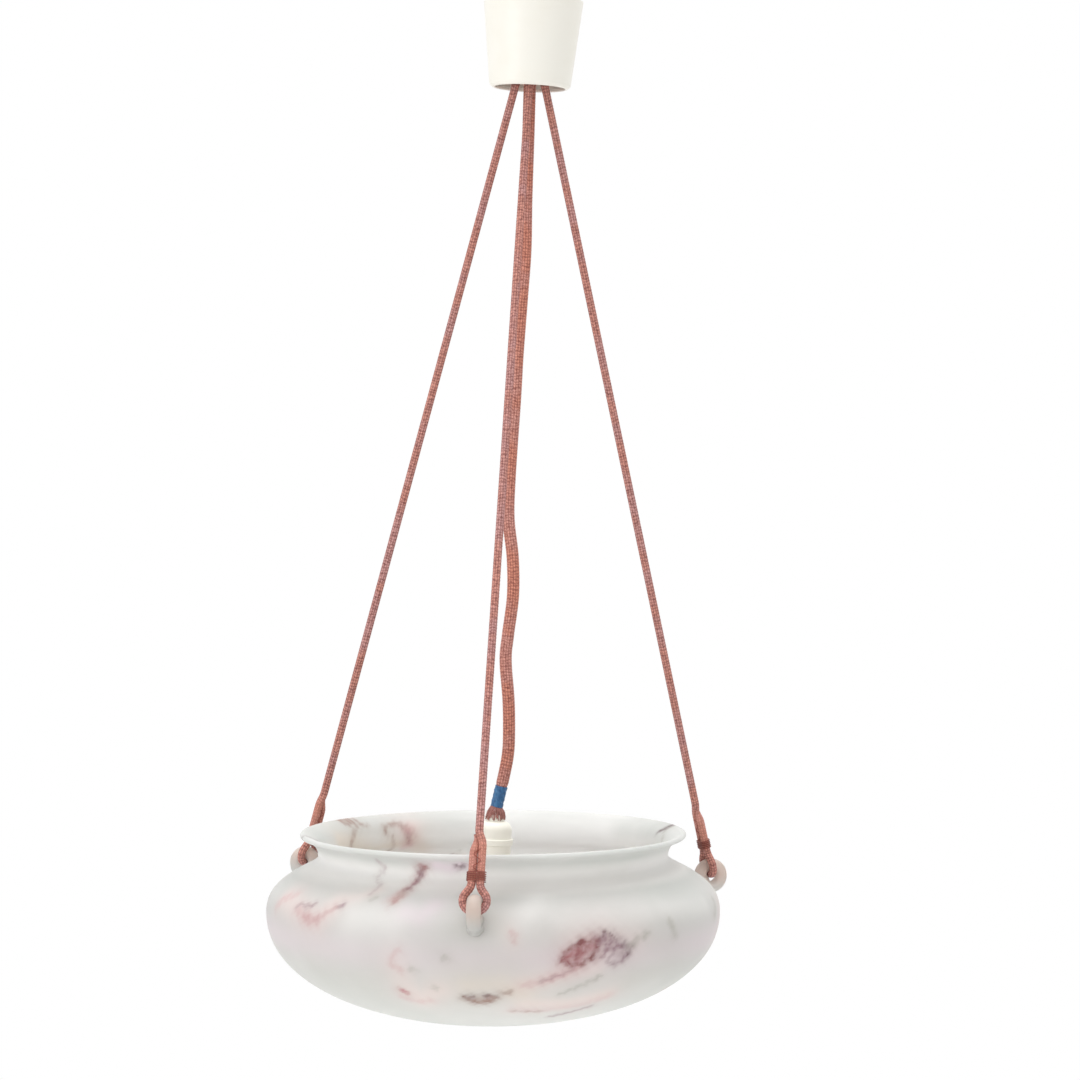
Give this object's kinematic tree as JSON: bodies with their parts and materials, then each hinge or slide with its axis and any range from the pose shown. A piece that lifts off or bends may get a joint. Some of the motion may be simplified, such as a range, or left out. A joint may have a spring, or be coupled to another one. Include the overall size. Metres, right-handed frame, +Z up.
{
  "type": "glass pendant light",
  "caption": "Frosted glass bowl hung by braided cords with sewn eyes from a tapered ceiling cup, with a flex, lampholder and bulb inside.",
  "frame": {"origin": "centre of the ceiling plate's upper face, midway between its screw holes", "axes": "+Z up into the ceiling, +X towards the right ear, -Y towards the front ear"},
  "size_m": [0.3587, 0.3673, 0.7844],
  "materials": {
    "zinc_steel": "zinc plated",
    "cream_plastic": "moulded, slightly yellowed",
    "block_plastic": "moulded",
    "brass": "pressed",
    "cord_braid": "braided brick red with pale flecks",
    "flex_braid": "braided brick red with pale flecks",
    "thread": "waxed thread",
    "frosted_glass": "frosted, milky, red-brown inclusions",
    "ear_glass": "fire polished, milky",
    "blue_tape": "wound tape",
    "core_insulation": "rubber insulation",
    "holder_plastic": "moulded",
    "insert_ceramic": "steatite",
    "cap_metal": "rolled thread",
    "solder": "dull solder",
    "bulb_glass": "opal",
    "stem_glass": "clear",
    "tungsten": "drawn wire"
  },
  "bodies": {
    "ceiling": {"ceiling_plate": "zinc_steel", "ceiling_hook": "zinc_steel", "hook_nut": "zinc_steel", "terminal_block": "block_plastic", "block_screw": "zinc_steel", "terminal_clamps": "brass", "terminal_screws": "zinc_steel"},
    "cup": {"cup": "cream_plastic", "cup_screw": "zinc_steel", "cup_nut": "zinc_steel"},
    "link": {"suspension_link": "zinc_steel"},
    "pendant": {"cord_front": "cord_braid", "cord_right": "cord_braid", "cord_left": "cord_braid", "whipping_front": "thread", "whipping_right": "thread", "whipping_left": "thread", "ear_front": "ear_glass", "ear_right": "ear_glass", "ear_left": "ear_glass", "glass_bowl": "frosted_glass"},
    "cores": {"flex_cores": "core_insulation"},
    "flex": {"flex": "flex_braid", "tape_sleeve": "blue_tape", "core_tails": "core_insulation", "holder_cap": "holder_plastic", "holder_ring": "holder_plastic", "holder_body": "holder_plastic", "holder_insert": "insert_ceramic", "grip_screw": "zinc_steel", "contact_screws": "brass", "screw_shell": "brass", "centre_contact": "brass"},
    "bulb_tip": {"bulb_contact": "solder"},
    "bulb": {"bulb_cap": "cap_metal", "bulb_glass": "bulb_glass", "bulb_stem": "stem_glass", "filament": "tungsten"}
  },
  "joints": [
    {"name": "swing_side", "type": "hinge", "parent": "ceiling", "child": "link", "pos_m": [0, 0, -0.022], "axis": [0, 1, 0], "range_deg": [-3.5, 3.5]},
    {"name": "swing_fore", "type": "hinge", "parent": "link", "child": "pendant", "pos_m": [0, 0, -0.0479], "axis": [1, 0, 0], "range_deg": [-3.5, 3.5]},
    {"name": "cup_drop", "type": "slide", "parent": "ceiling", "child": "cup", "axis": [0, 0, -1], "range_m": [0, 0.015]},
    {"name": "flex_fore", "type": "hinge", "parent": "ceiling", "child": "cores", "pos_m": [0, 0.016, -0.0175], "axis": [1, 0, 0], "range_deg": [-3.5, 3.5]},
    {"name": "flex_side", "type": "hinge", "parent": "cores", "child": "flex", "pos_m": [0, 0.016, -0.032], "axis": [0, 1, 0], "range_deg": [-3.5, 3.5]},
    {"name": "bulb_travel", "type": "slide", "parent": "flex", "child": "bulb_tip", "axis": [0, 0, -1], "range_m": [0, 0.01127]},
    {"name": "bulb_turn", "type": "hinge", "parent": "bulb_tip", "child": "bulb", "pos_m": [-0.002, 0.016, -0.67], "axis": [0, 0, -1], "range_deg": [0, 1440]}
  ],
  "couplings": [
    {"joint": "bulb_turn", "follows": "bulb_travel", "rad_per_m": 2228.1}
  ]
}
